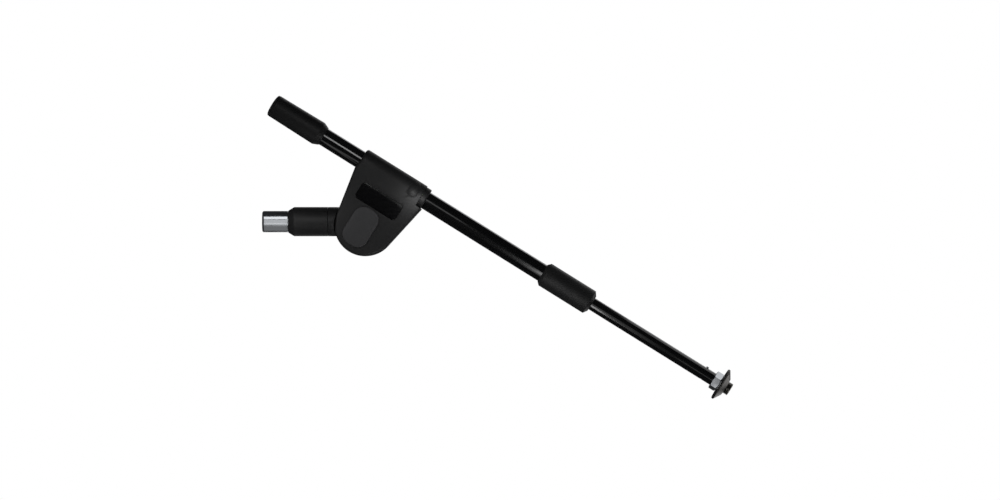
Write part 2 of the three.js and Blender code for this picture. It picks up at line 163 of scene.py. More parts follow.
def revolved(name, rows, place, material, segments=96):
    """Solid round the local z axis. A row is (radius, height) in mm, or a function of the angle."""
    verts, rings = [], []
    for row in rows:
        start = len(verts)
        if not callable(row) and row[0] == 0:
            verts.append((0, 0, row[1]))
            rings.append([start] * (segments + 1))
            continue
        for k in range(segments):
            turn = 2 * math.pi * k / segments
            r, z = row(turn) if callable(row) else row
            verts.append((r * math.cos(turn), r * math.sin(turn), z))
        rings.append([start + k % segments for k in range(segments + 1)])
    if rings[0][0] != rings[0][1]:
        rings.append(rings[0])
    faces = []
    for lower, upper in zip(rings, rings[1:]):
        for k in range(segments):
            corners = dict.fromkeys((lower[k], lower[k + 1], upper[k + 1], upper[k]))
            if len(corners) > 2:
                faces.append(tuple(corners))
    return new_piece(name, verts, faces, place, material)


THREAD_PITCH = 25.4 / 27


def thread_rows(crest, root, z0, z1):
    """Rows of a right-hand 5/8-27 thread from z0 to z1 that fades out at both ends."""
    steps = max(2, round(abs(z1 - z0) / THREAD_PITCH * 6))
    rows = []
    for i in range(steps + 1):
        z = z0 + (z1 - z0) * i / steps
        fade = min(1.0, abs(z - z0) / THREAD_PITCH, abs(z1 - z) / THREAD_PITCH)

        def row(turn, z=z, fade=fade):
            wave = abs(((z / THREAD_PITCH - turn / (2 * math.pi)) % 1) * 2 - 1)
            return root + (crest - root) * (1 - fade + fade * wave), z

        rows.append(row)
    return rows


# Chrome: a near mirror that shows its surroundings, with faint turning rings and handling haze.
chrome, tree, shader, place = new_material(
    "chrome_plated_steel", Base_Color=linear("#c6c9cd"), Metallic=1.0)
haze = noise(tree, place, 9.0, 3.0)
tree.links.new(spread(tree, haze, 0.12, 0.22), shader.inputs["Roughness"])
turning = noise(tree, place, 0.5, 1.0, {"Scale": (0.04, 0.04, 1.0)})
relief(tree, shader, turning, 0.0012)

SOCKET_R, SOCKET_TOP, SHANK_R, SHANK_TOP, BORE_R, BORE_DEPTH = 12.95, 31.6, 10.0, 54.0, 7.95, 22.0
rows = filleted([
    (SHANK_R - 0.8, SHANK_TOP, 0), (SHANK_R, SHANK_TOP - 0.8, 0.3), (SHANK_R, SOCKET_TOP, 0),
    (SOCKET_R, SOCKET_TOP, 0.5), (SOCKET_R, 0, 2.2), (BORE_R + 0.9, 0, 0),
])
rows += thread_rows(BORE_R + 0.05, BORE_R - 0.5, 0.9, BORE_DEPTH)
rows += [(4.0, BORE_DEPTH), (4.0, SHANK_TOP)]
socket = revolved("stand_socket_turned", held(rows), STAND, chrome)
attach(socket, "mount")
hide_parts("stand_socket")

# ---------------------------------------------------------------------------------------------
# Neck sleeve
# Die-cast zinc sleeve under a satin black powder coat. It slips over the socket's shank and takes
# the knuckle's spigot from above, and its lower end is chamfered down to the socket.
# ---------------------------------------------------------------------------------------------

# Powder coat: satin black with a soft orange-peel ripple, drawn at 1.4 mm so that it shows.
powder, tree, shader, place = new_material(
    "black_powder_coat", Base_Color=linear("#171718"), Specular_IOR_Level=0.4)
patches = noise(tree, place, 22.0, 4.0)
tree.links.new(spread(tree, patches, 0.42, 0.52), shader.inputs["Roughness"])
peel = relief(tree, shader, noise(tree, place, 1.4, 2.0), 0.05)
relief(tree, shader, noise(tree, place, 0.25, 1.0), 0.006, peel)

NECK_R, NECK_SEAT, NECK_CHAMFER, NECK_TOP = 17.8, 31.9, 7.0, 80.0
STEP_Z, SPIGOT_R = 54.3, 12.0
rows = filleted([
    (SHANK_R + 0.3, NECK_SEAT, 0.2), (SOCKET_R + 0.6, NECK_SEAT, 0.5),
    (NECK_R, NECK_SEAT + NECK_CHAMFER, 1.0), (NECK_R, NECK_TOP, 0.45),
    (SPIGOT_R + 0.3, NECK_TOP, 0.2), (SPIGOT_R + 0.3, STEP_Z, 0), (SHANK_R + 0.3, STEP_Z, 0),
])
neck = revolved("neck_sleeve_cast", held(rows), STAND, powder, 128)


def carve(piece, tools, operation="DIFFERENCE"):
    """Cut the piece with each tool, or join them to it, and use the tools up."""
    import bmesh
    for tool in tools:
        modifier = piece.modifiers.new("carve", "BOOLEAN")
        modifier.solver = "EXACT"
        modifier.operation = operation
        modifier.object = tool
        depsgraph = bpy.context.evaluated_depsgraph_get()
        result = bpy.data.meshes.new_from_object(piece.evaluated_get(depsgraph))
        piece.modifiers.clear()
        piece.data = result
        bpy.data.objects.remove(tool)
    bm = bmesh.new()
    bm.from_mesh(piece.data)
    bmesh.ops.remove_doubles(bm, verts=bm.verts, dist=2e-6)
    bmesh.ops.dissolve_degenerate(bm, edges=bm.edges, dist=2e-6)
    bm.to_mesh(piece.data)
    bm.free()
    piece.data.shade_smooth()
    piece.data.set_sharp_from_angle(angle=math.radians(32))


def soften(piece, width_mm, segments=2, angle=35):
    """Break the piece's sharp edges with a small round bevel."""
    modifier = piece.modifiers.new("soften", "BEVEL")
    modifier.width = width_mm * MM
    modifier.segments = segments
    modifier.limit_method = "ANGLE"
    modifier.angle_limit = math.radians(angle)
    modifier.use_clamp_overlap = True
    depsgraph = bpy.context.evaluated_depsgraph_get()
    result = bpy.data.meshes.new_from_object(piece.evaluated_get(depsgraph))
    piece.modifiers.clear()
    piece.data = result
    piece.data.shade_smooth()
    piece.data.set_sharp_from_angle(angle=math.radians(50))


def to_back(x, z, place=STAND):
    """A frame at (x, z) whose own z axis runs to the back of the arm."""
    axes = Matrix(((1, 0, 0, x * MM), (0, 0, 1, 0), (0, -1, 0, z * MM), (0, 0, 0, 1)))
    return place @ axes


GRUB_PLACES = {"socket_grub_screw": (46, SHANK_R), "knuckle_grub_screw": (68, SPIGOT_R)}
holes = [
    revolved("hole", [(0, 8), (2.8, 8), (2.8, 20), (0, 20)], to_back(0, z), powder, 32)
    for z, depth in GRUB_PLACES.values()
]
carve(neck, holes)
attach(neck, "mount")
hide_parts("neck_sleeve")

# Hexagon-socket grub screws from the back hold the shank and the spigot: zinc-plated steel, with
# a bright bluish plate that is a little uneven.
zinc, tree, shader, place = new_material(
    "zinc_plated_steel", Base_Color=linear("#b3b7bb"), Metallic=1.0)
tree.links.new(spread(tree, noise(tree, place, 3.0, 3.0), 0.22, 0.42), shader.inputs["Roughness"])
relief(tree, shader, noise(tree, place, 0.4, 2.0), 0.01)


def hexagon(flats, z):
    """A row with six flat sides, that distance across flats."""
    def row(turn):
        return flats / 2 / math.cos((turn % (math.pi / 3)) - math.pi / 6), z
    return row


for name, (z, seat) in GRUB_PLACES.items():
    rows = [(0, seat + 0.3), (2.1, seat + 0.3), (2.5, seat + 1.0)]
    rows += [(2.5, 16.9), (2.4, 17.15), (2.2, 17.2)]
    rows += [(1.75, 17.2), hexagon(2.6, 16.9), hexagon(2.6, 15.0), (0, 14.4)]
    grub = revolved(name + "_hex", rows, to_back(0, z), zinc, 48)
    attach(grub, "mount")
    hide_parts(name)

# ---------------------------------------------------------------------------------------------
# Knuckle
# Die-cast zinc, powder coated like the neck. Its round top is hollowed to follow the head, and its
# flat tongue goes up between the head's cheeks and turns on the pivot bolt.
# ---------------------------------------------------------------------------------------------

JOINTS = {joint["name"]: joint for joint in frame["joints"]}
PIVOT = Vector(JOINTS["boom_tilt"]["pos_m"]) / MM
ALONG = Vector(JOINTS["boom_slide"]["axis"]).normalized()
BACK = Vector((0, 1, 0))
ACROSS = BACK.cross(ALONG)
BOOM_TO_PIVOT = (PIVOT - Vector(JOINTS["clutch_twist"]["pos_m"]) / MM).dot(ACROSS)
FOOT = (PIVOT - BOOM_TO_PIVOT * ACROSS) * MM
BOOM = Matrix((
    (ACROSS.x, BACK.x, ALONG.x, FOOT.x),
    (ACROSS.y, BACK.y, ALONG.y, FOOT.y),
    (ACROSS.z, BACK.z, ALONG.z, FOOT.z),
    (0, 0, 0, 1),
))
HEAD_HALF, HEAD_END, SHOULDER, DISC_R = 15.55, 47.0, 12.0, 37.5
EDGE_R = 3.4


def line(start, end, count):
    """Evenly spaced points from start up to, and not with, end."""
    return [tuple(a + (b - a) * k / count for a, b in zip(start, end)) for k in range(count)]


def head_side(grow=0.0):
    """Outline of the head below the tube, from its rear end round the disc to its front end."""
    end = HEAD_END + 1 + grow
    drop = BOOM_TO_PIVOT - SHOULDER
    flank = math.asin((DISC_R + grow) / math.hypot(drop, end)) - math.atan2(end, drop)
    turn = math.pi / 2 + flank
    arc = []
    for k in range(97):
        a = -turn + 2 * turn * k / 96
        arc.append((BOOM_TO_PIVOT + (DISC_R + grow) * math.cos(a), (DISC_R + grow) * math.sin(a)))
    points = line((0, 1 - end), (SHOULDER, -end), 6)
    points += line((SHOULDER, -end), arc[0], 24)
    points += arc
    points += line(arc[-1], (SHOULDER, end), 24)[1:]
    points += line((SHOULDER, end), (0, end - 1), 6)
    points.append((0, end - 1))
    return points


def slab(name, outline, y0, y1, place, material):
    """Flat plate with its outline in x and z, between two y levels."""
    count = len(outline)
    verts = [(x, y, z) for y in (y0, y1) for x, z in outline]
    faces = [tuple(range(count)), tuple(range(2 * count - 1, count - 1, -1))]
    faces += [(k, count + k, count + (k + 1) % count, (k + 1) % count) for k in range(count)]
    return new_piece(name, verts, faces, place, material)


TONGUE_R, TONGUE_HALF, WEB_HALF, BOLT_R = 26.0, 6.0, 13.0, 4.0
rows = filleted([
    (0, 56, 0), (SPIGOT_R, 56, 0.8), (SPIGOT_R, NECK_TOP + 0.3, 0),
    (NECK_R, NECK_TOP + 0.3, 0.45), (NECK_R, PIVOT.z, 0), (0, PIVOT.z, 0),
])
knuckle = revolved("knuckle_cast", rows, STAND, powder, 128)
hollow = [
    revolved("hollow", [(0, -30), (DISC_R + 0.6, -30), (DISC_R + 0.6, 30), (0, 30)],
             to_back(PIVOT.x, PIVOT.z), powder, 160),
    slab("rest", head_side(0.6), -30, 30, BOOM, powder),
]
carve(knuckle, hollow)
x, z = PIVOT.x, PIVOT.z
web = slab("web", [(x - WEB_HALF, 84), (x + WEB_HALF, 84), (x + WEB_HALF, z), (x - WEB_HALF, z)],
           -TONGUE_HALF, TONGUE_HALF, STAND, powder)
disc = revolved("disc", [(0, -TONGUE_HALF), (TONGUE_R, -TONGUE_HALF), (TONGUE_R, TONGUE_HALF),
                         (0, TONGUE_HALF)], to_back(x, z), powder, 96)
carve(knuckle, [web, disc], "UNION")
eye = revolved("eye", [(0, -10), (BOLT_R + 0.3, -10), (BOLT_R + 0.3, 10), (0, 10)],
               to_back(x, z), powder, 48)
carve(knuckle, [eye])
soften(knuckle, 0.5)
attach(knuckle, "mount")
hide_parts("knuckle")

# ---------------------------------------------------------------------------------------------
# Head shells
# Two halves moulded in glass-filled nylon, screwed together round the tube and the tongue. A round
# sleeve follows the tube and runs out into flat cheeks with rounded edges.
# ---------------------------------------------------------------------------------------------

# Moulded nylon: dull black, with a fine spark-eroded grain drawn at 0.9 mm so that it shows, and
# broad patches where the glass fibre lies nearer the surface.
nylon, tree, shader, place = new_material(
    "black_glass_filled_nylon", Base_Color=linear("#1b1b1c"), Specular_IOR_Level=0.45)
broad = noise(tree, place, 30.0, 5.0)
tree.links.new(spread(tree, broad, 0.46, 0.58), shader.inputs["Roughness"])
grain = relief(tree, shader, noise(tree, place, 0.9, 3.0), 0.035)
relief(tree, shader, noise(tree, place, 7.0, 2.0), 0.06, grain)

CHEEK_INNER, SEAM_HALF, BUSH_SEAT_R = 7.8, 0.15, 13.3
COLLAR_START = 39.5
BADGE_X, BADGE_Z, BADGE_CORNER, BADGE_DEPTH = (20.0, 42.6), (-30.3, 27.7), 5.0, 1.4
BOSS_Z, BOSS_RADII = 27.5, (15.4, 17.2, 16.5)
SCREW_PLACES = [(22, -38), (22, 38), (48, -34), (48, 34)]
TILT = math.radians(JOINTS["boom_tilt"]["range_deg"][1])


def round_rect(x_span, z_span, corner, steps=8):
    """Rectangle outline with round corners."""
    points = []
    for (x, z), quarter in (((x_span[1], z_span[1]), 0), ((x_span[0], z_span[1]), 1),
                            ((x_span[0], z_span[0]), 2), ((x_span[1], z_span[0]), 3)):
        cx = x - corner if x == x_span[1] else x + corner
        cz = z - corner if z == z_span[1] else z + corner
        for k in range(steps + 1):
            turn = (quarter + k / steps) * math.pi / 2
            points.append((cx + corner * math.cos(turn), cz + corner * math.sin(turn)))
    return points


def shell_radius(inset):
    """Half thickness of the head at that distance inside its side outline."""
    if inset >= EDGE_R:
        return HEAD_HALF
    inset = max(inset, 0.0)
    return HEAD_HALF - EDGE_R + math.sqrt(EDGE_R ** 2 - (EDGE_R - inset) ** 2)


SIDE = [Vector(p) for p in head_side()]


def side_inset(x, z):
    """Distance from a point to the side outline."""
    here = Vector((x, z))
    best = 1e9
    for a, b in zip(SIDE, SIDE[1:]):
        along = b - a
        t = min(1.0, max(0.0, (here - a).dot(along) / along.length_squared))
        best = min(best, (here - a - along * t).length)
    return best


def shell_height(x, z):
    """Distance of the outer surface from the parting plane: round over the tube, flat below it."""
    if x >= 0:
        return shell_radius(side_inset(x, z))
    radius = shell_radius(HEAD_END - abs(z))
    return math.sqrt(max(0.0, radius ** 2 - x ** 2))


def head_shell(name, side):
    """One half of the head, before its pockets are cut, as rings that close in on its middle."""
    over_tube = []
    for k in range(13):
        inset = EDGE_R * (1 - math.cos(math.pi / 2 * k / 12))
        over_tube.append((-shell_radius(inset), HEAD_END - inset))
    top = line((0, HEAD_END), over_tube[0], 8)[1:] + over_tube
    top += line(over_tube[-1], (over_tube[-1][0], -over_tube[-1][1]), 40)[1:]
    top += [(px, -pz) for px, pz in reversed(over_tube)]
    top += line((over_tube[0][0], -HEAD_END), (0, -HEAD_END), 8)[1:]
    rim = [tuple(p) for p in SIDE] + top
    centre = (38.0, 0.0)
    reach = centre[0] + HEAD_HALF
    turns = [0, 1.5, 3, 5, 8, 12, 17, 23, 30, 38, 46, 54, 62, 70, 78, 84, 90]
    scales = [(centre[0] + HEAD_HALF * math.cos(math.radians(a))) / reach for a in turns]
    scales += [0.6, 0.45, 0.25]
    rings = []
    for level in (0.0, 0.5, 1.0):
        ring = []
        for px, pz in rim:
            height = shell_height(px, pz)
            ring.append((px, side * max(SEAM_HALF, SEAM_HALF + (height - SEAM_HALF) * level), pz))
        rings.append(ring)
    for scale in scales[1:]:
        ring = []
        for px, pz in rim:
            qx, qz = centre[0] + (px - centre[0]) * scale, pz * scale
            ring.append((qx, side * max(shell_height(qx, qz), SEAM_HALF), qz))
        rings.append(ring)
    count = len(rim)
    verts = [v for ring in rings for v in ring]
    verts += [(centre[0], side * SEAM_HALF, 0), (centre[0], side * HEAD_HALF, 0)]
    under, over = len(verts) - 2, len(verts) - 1
    faces = []
    for k in range(count):
        after = (k + 1) % count
        faces.append((k, after, under))
        last = (len(rings) - 1) * count
        faces.append((last + k, last + after, over))
        for j in range(len(rings) - 1):
            low, high = j * count, (j + 1) * count
            faces.append((low + k, low + after, high + after, high + k))
    return new_piece(name, verts, faces, BOOM, nylon)


def tongue_space():
    """Tools that clear the room between the cheeks, as wide as the tongue and its web sweep."""
    lean = math.atan2(ALONG.x, ALONG.z)
    half, far = WEB_HALF + 1, 75
    edges = []
    for side, turn in ((-1, lean - math.pi / 2), (1, lean - math.pi / 2 + TILT)):
        run = Vector((math.cos(turn), math.sin(turn)))
        near = Vector((BOOM_TO_PIVOT, 0)) + side * half * Vector((-run.y, run.x))
        edges.append((tuple(near), tuple(near + far * run)))
    (near_a, far_a), (near_b, far_b) = edges
    outline = [near_a, far_a, (BOOM_TO_PIVOT + far, -far / 2)]
    outline += [(BOOM_TO_PIVOT + far, far / 2), far_b, near_b]
    wedge = slab("wedge", outline, -CHEEK_INNER, CHEEK_INNER, BOOM, nylon)
    rows = [(0, -CHEEK_INNER), (TONGUE_R + 1, -CHEEK_INNER)]
    rows += [(TONGUE_R + 1, CHEEK_INNER), (0, CHEEK_INNER)]
    return [wedge, revolved("round", rows, to_back(BOOM_TO_PIVOT, 0, BOOM), nylon, 96)]


def drill(x, z, r, y0, y1):
    """A round hole through the head from front to back."""
    return revolved("drill", [(0, y0), (r, y0), (r, y1), (0, y1)], to_back(x, z, BOOM), nylon, 48)


for name, side in (("front_shell", -1), ("rear_shell", 1)):
    shell = head_shell(name + "_moulded", side)
    turns = [math.pi * k / 32 for k in range(33)]
    bulge = [(BOSS_RADII[0] * math.sin(turn), -math.cos(turn)) for turn in turns]
    bulge[0], bulge[-1] = (0, -1), (0, 1)
    flatten = Matrix.Diagonal((1, BOSS_RADII[2] / BOSS_RADII[0], BOSS_RADII[1], 1))
    boss = revolved("boss", bulge, to_back(0, BOSS_Z, BOOM) @ flatten, nylon, 96)
    halve = slab("halve", [(-40, -70), (130, -70), (130, 70), (-40, 70)],
                 *((-60, SEAM_HALF) if side > 0 else (-SEAM_HALF, 60)), BOOM, nylon)
    carve(boss, [halve])
    carve(shell, [boss], "UNION")
    tools = tongue_space()
    rows = [(0, -60), (BUSH_SEAT_R, -60), (BUSH_SEAT_R, 60), (0, 60)]
    tools.append(revolved("bore", rows, BOOM, nylon, 96))
    seat = [(-30, COLLAR_START - 0.3), (SHOULDER, COLLAR_START - 0.3), (SHOULDER, 70), (-30, 70)]
    tools.append(slab("seat", seat, -30, 30, BOOM, nylon))
    rows = [(0, COLLAR_START - 0.35), (14.6, COLLAR_START - 0.35), (14.6, 75), (0, 75)]
    tools.append(revolved("seat", rows, BOOM, nylon, 96))
    tools.append(drill(BOOM_TO_PIVOT, 0, BOLT_R + 0.3, -30, 30))
    if side < 0:
        recess = round_rect(BADGE_X, BADGE_Z, BADGE_CORNER)
        tools.append(slab("recess", recess, -30, -HEAD_HALF + BADGE_DEPTH, BOOM, nylon))
        tools.append(drill(BOOM_TO_PIVOT, 0, 9.5, -30, -10.8))
        tools += [drill(x, z, 3.4, -12, 1) for x, z in SCREW_PLACES]
    else:
        tools += [drill(x, z, 2.3, -1, 20) for x, z in SCREW_PLACES]
        tools += [drill(x, z, 4.2, 11.8, 20) for x, z in SCREW_PLACES]
    carve(shell, tools)
    soften(shell, 0.35)
    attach(shell, "head")
    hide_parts(name)

# ---------------------------------------------------------------------------------------------
# Tube bushing and end collar
# The boom slides in a split liner of natural nylon. A rounded black collar closes the sleeve's
# front end over the liner.
# ---------------------------------------------------------------------------------------------

TUBE_R, BUSH_R, COLLAR_R = 11.1, 13.0, 14.3

# Natural nylon: milky off-white, slightly waxy.
natural, tree, shader, place = new_material(
    "natural_nylon", Base_Color=linear("#cfc8b6"), Subsurface_Weight=0.15, Subsurface_Scale=0.002)
tree.links.new(spread(tree, noise(tree, place, 4.0, 2.0), 0.38, 0.5), shader.inputs["Roughness"])
relief(tree, shader, noise(tree, place, 0.8, 2.0), 0.02)

rows = filleted([
    (TUBE_R + 0.1, -HEAD_END + 0.6, 0.3), (BUSH_R, -HEAD_END + 0.6, 0.4),
    (BUSH_R, HEAD_END - 0.8, 0.4), (TUBE_R + 0.1, HEAD_END - 0.8, 0.3),
])
bushing = revolved("tube_bushing_split", rows, BOOM, natural)
carve(bushing, [slab("split", [(-20, -60), (0, -60), (0, 60), (-20, 60)], -0.8, 0.8, BOOM, natural)])
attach(bushing, "head")
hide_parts("tube_bushing")

rows = filleted([
    (BUSH_R + 0.3, COLLAR_START - 0.2, 0), (COLLAR_R, COLLAR_START - 0.2, 0.3),
    (COLLAR_R, HEAD_END - 2.0, 1.2), (COLLAR_R - 0.6, HEAD_END - 0.6, 0.2),
    (BUSH_R + 0.3, HEAD_END - 0.6, 0),
])
collar = revolved("end_collar_moulded", rows, BOOM, nylon)
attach(collar, "head")
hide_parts("end_collar")

# ---------------------------------------------------------------------------------------------
# Pivot: friction discs, bolt and washers
# The bolt's hexagon head sits in the front shell under the cap. It goes through both friction
# discs and the tongue, and its thread takes the knob behind the rear shell.
# ---------------------------------------------------------------------------------------------

# Pressed friction fibre: brown, dull, with visible fibre flecks about 1 mm long.
fibre, tree, shader, place = new_material("pressed_friction_fibre", Roughness=0.88)
flecks = noise(tree, place, 1.0, 4.0, {"Scale": (1.0, 1.0, 0.35)})
ramp = add(tree, "ShaderNodeValToRGB", {"Fac": flecks})
ramp.color_ramp.elements[0].color = linear("#3e2b1d")
ramp.color_ramp.elements[1].color = linear("#8a6a48")
tree.links.new(ramp.outputs["Color"], shader.inputs["Base Color"])
relief(tree, shader, flecks, 0.08)

for name, side in (("friction_disc_front", -1), ("friction_disc_rear", 1)):
    middle = side * (TONGUE_HALF + CHEEK_INNER) / 2
    rows = filleted([(BOLT_R + 1, middle - 0.6, 0.15), (22, middle - 0.6, 0.2),
                     (22, middle + 0.6, 0.2), (BOLT_R + 1, middle + 0.6, 0.15)], 3)
    disc = revolved(name + "_pressed", rows, to_back(BOOM_TO_PIVOT, 0, BOOM), fibre)
    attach(disc, "head")
    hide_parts(name)

KNOB_BASE, KNOB_HEIGHT = 19.4, 20.0
at_pivot = to_back(BOOM_TO_PIVOT, 0, BOOM)
rows = [(0, -15.4), (6.2, -15.4), hexagon(13.0, -14.9), hexagon(13.0, -12.1), (BOLT_R, -12.1)]
rows += thread_rows(BOLT_R, BOLT_R - 0.45, 14, KNOB_BASE + 12.4)
rows += [(BOLT_R - 0.7, KNOB_BASE + 13), (0, KNOB_BASE + 13)]
bolt = revolved("pivot_bolt_hex", rows, at_pivot, zinc, 48)
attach(bolt, "head")
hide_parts("pivot_bolt")

WASHERS = {
    "bolt_washer": (8.6, -11.8, -11.1, 0),
    "rear_washer": (12.0, HEAD_HALF + 0.3, 17.2, 0),
    "spring_washer": (9.0, 17.5, 19.1, 0.5),
}
for name, (r, z0, z1, dish) in WASHERS.items():
    rim = 0.3 if z1 - z0 > 1 else 0.15
    rows = filleted([(BOLT_R + 0.3, z0 + dish, rim), (r, z0, rim), (r, z1 - dish, rim),
                     (BOLT_R + 0.3, z1, rim)], 3)
    washer = revolved(name + "_punched", rows, at_pivot, zinc, 64)
    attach(washer, "head")
    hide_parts(name)

# ---------------------------------------------------------------------------------------------
# Shell screws and their inserts
# Four pan-head screws go in from the back and pull the halves together. Each turns in a knurled
# brass insert that is melted into the front shell.
# ---------------------------------------------------------------------------------------------

template = revolved("screw", filleted([
    (0, -8, 0), (1.6, -8, 0.3), (2.0, -7.2, 0.2), (2.0, 12.2, 0), (3.8, 12.2, 0.3), (3.8, 13.6, 0.9),
    (2.4, 15.0, 1.0), (0, 15.0, 0),
]), Matrix.Identity(4), zinc, 40)
cross = []
for half_x, half_z in ((2.3, 0.42), (0.42, 2.3)):
    outline = [(-half_x, -half_z), (half_x, -half_z), (half_x, half_z), (-half_x, half_z)]
    lift = Matrix.Rotation(math.pi / 2, 4, "X")
    cross.append(slab("cross", outline, -17, -13.4, lift, zinc))
carve(template, cross)


def repeated(name, points, turns, template, material):
    """Geometry Nodes copies of the template at each point, turned as given, made one plain mesh."""
    tree = bpy.data.node_groups.new(name, "GeometryNodeTree")
    tree.interface.new_socket("Geometry", in_out="INPUT", socket_type="NodeSocketGeometry")
    size = tree.interface.new_socket("Size", in_out="INPUT", socket_type="NodeSocketFloat")
    size.default_value = 1.0
    copied = tree.interface.new_socket("Template", in_out="INPUT", socket_type="NodeSocketObject")
    tree.interface.new_socket("Geometry", in_out="OUTPUT", socket_type="NodeSocketGeometry")
    given = add(tree, "NodeGroupInput")
    shape = add(tree, "GeometryNodeObjectInfo", {"Object": given.outputs["Template"]})
    turn = add(tree, "GeometryNodeInputNamedAttribute", {"Name": "turn"}, data_type="FLOAT_VECTOR")
    placed = add(tree, "GeometryNodeInstanceOnPoints", {
        "Points": given.outputs["Geometry"], "Instance": shape.outputs["Geometry"],
        "Rotation": turn.outputs["Attribute"], "Scale": given.outputs["Size"],
    })
    real = add(tree, "GeometryNodeRealizeInstances", {"Geometry": placed.outputs["Instances"]})
    painted = add(tree, "GeometryNodeSetMaterial", {
        "Geometry": real.outputs["Geometry"], "Material": material,
    })
    add(tree, "NodeGroupOutput", {"Geometry": painted.outputs["Geometry"]})
    mesh = bpy.data.meshes.new(name)
    mesh.from_pydata(points, [], [])
    stored = mesh.attributes.new("turn", "FLOAT_VECTOR", "POINT")
    for i, turned in enumerate(turns):
        stored.data[i].vector = turned
    piece = bpy.data.objects.new(name, mesh)
    bpy.context.scene.collection.objects.link(piece)
    modifier = piece.modifiers.new("copies", "NODES")
    modifier.node_group = tree
    modifier[size.identifier] = 1.0
    modifier[copied.identifier] = template
    depsgraph = bpy.context.evaluated_depsgraph_get()
    result = bpy.data.meshes.new_from_object(piece.evaluated_get(depsgraph))
    piece.modifiers.clear()
    piece.data = result
    bpy.data.objects.remove(template)
    return piece


frames = [to_back(x, z, BOOM) for x, z in SCREW_PLACES]
# Each driver slot stops where it was tightened, so the crosses point different ways.
spin = [Matrix.Rotation(math.radians(a), 4, "Z") for a in (12, 57, 80, 33)]
screws = repeated("shell_screws_pan_head", [f.translation for f in frames],
                  [(f @ s).to_euler() for f, s in zip(frames, spin)], template, zinc)
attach(screws, "head")
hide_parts(*(f"shell_screw_{i + 1}" for i in range(4)))

# Turned brass: warm and bright, dulled a little by heat.
brass, tree, shader, place = new_material("turned_brass", Base_Color=linear("#c39a4a"), Metallic=1.0)
tree.links.new(spread(tree, noise(tree, place, 2.0, 3.0), 0.25, 0.4), shader.inputs["Roughness"])
relief(tree, shader, noise(tree, place, 0.3, 1.0), 0.01)


def knurled(r, depth, teeth, z):
    """A row whose radius ripples in and out round the axis."""
    return lambda turn: (r - depth * (0.5 - 0.5 * math.cos(teeth * turn)), z)


template = revolved("insert", [
    (2.2, -10), (3.0, -10), knurled(3.1, 0.2, 24, -9.6), knurled(3.1, 0.2, 24, -6.4), (2.7, -6.1),
    (2.7, -5.4), knurled(3.1, 0.2, 24, -5.1), knurled(3.1, 0.2, 24, -1.2), (3.0, -0.8), (2.2, -0.8),
], Matrix.Identity(4), brass, 96)
inserts = repeated("screw_inserts_knurled", [f.translation for f in frames],
                   [f.to_euler() for f in frames], template, brass)
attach(inserts, "head")
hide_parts(*(f"screw_insert_{i + 1}" for i in range(4)))

# ---------------------------------------------------------------------------------------------
# Badge plate and pivot cap
# A blank plate of polished black plastic is glued into the recess. The oblong cap clips over the
# bolt's head, and its lighter, flatter face catches more light than the shell.
# ---------------------------------------------------------------------------------------------


def crowned_plate(name, outline, y_back, y_face, edge, crown, place, material):
    """Plate facing the front with a rounded rim and a slightly raised middle."""
    cx = sum(p[0] for p in outline) / len(outline)
    cz = sum(p[1] for p in outline) / len(outline)
    reach = min(math.hypot(px - cx, pz - cz) for px, pz in outline)
    insets = [0.0] + [edge * (1 - math.cos(math.pi / 2 * k / 6)) for k in range(1, 7)]
    rises = [0.0] + [edge * math.sin(math.pi / 2 * k / 6) for k in range(1, 7)]
    scales = [(1 - inset / reach, y_face + edge - rise) for inset, rise in zip(insets, rises)]
    inner = scales[-1][0]
    for k in (0.75, 0.5, 0.25):
        scales.append((inner * k, y_face - crown * (1 - k * k)))
    rings = [(1.0, y_back)] + scales
    count = len(outline)
    verts = [(cx + (px - cx) * s, y, cz + (pz - cz) * s) for s, y in rings for px, pz in outline]
    verts += [(cx, y_back, cz), (cx, y_face - crown, cz)]
    back, face = len(verts) - 2, len(verts) - 1
    faces = []
    for k in range(count):
        after = (k + 1) % count
        faces.append((k, after, back))
        last = (len(rings) - 1) * count
        faces.append((last + k, last + after, face))
        for j in range(len(rings) - 1):
            low, high = j * count, (j + 1) * count
            faces.append((low + k, low + after, high + after, high + k))
    return new_piece(name, verts, faces, place, material)


# Polished black plastic: deep gloss with a few hair scratches.
gloss, tree, shader, place = new_material("polished_black_plastic", Base_Color=linear("#060607"))
hairs = noise(tree, place, 1.2, 1.0, {"Rotation": (0, 0.55, 0), "Scale": (1.0, 1.0, 0.02)})
tree.links.new(spread(tree, hairs, 0.12, 0.18), shader.inputs["Roughness"])
relief(tree, shader, noise(tree, place, 14.0, 1.0), 0.01)

outline = round_rect((BADGE_X[0] + 0.3, BADGE_X[1] - 0.3), (BADGE_Z[0] + 0.3, BADGE_Z[1] - 0.3),
                     BADGE_CORNER - 0.3)
badge = crowned_plate("badge_plate_blank", outline, -HEAD_HALF + BADGE_DEPTH - 0.3,
                      -HEAD_HALF + 0.2, 0.3, 0.0, BOOM, gloss)
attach(badge, "head")
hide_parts("badge_plate")

# Dark grey ABS: paler than the shells, satin, with a fine moulded grain.
grey, tree, shader, place = new_material("dark_grey_abs", Base_Color=linear("#343436"))
tree.links.new(spread(tree, noise(tree, place, 14.0, 4.0), 0.4, 0.52), shader.inputs["Roughness"])
relief(tree, shader, noise(tree, place, 0.8, 3.0), 0.03)

CAP_X, CAP_Z = (44.5, 94.5), (-20.1, 12.9)
cap = crowned_plate("pivot_cap_clipped", round_rect(CAP_X, CAP_Z, 13.5, 14), -HEAD_HALF - 0.3,
                    -HEAD_HALF - 1.8, 0.9, 0.3, BOOM, grey)
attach(cap, "head")
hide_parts("pivot_cap")

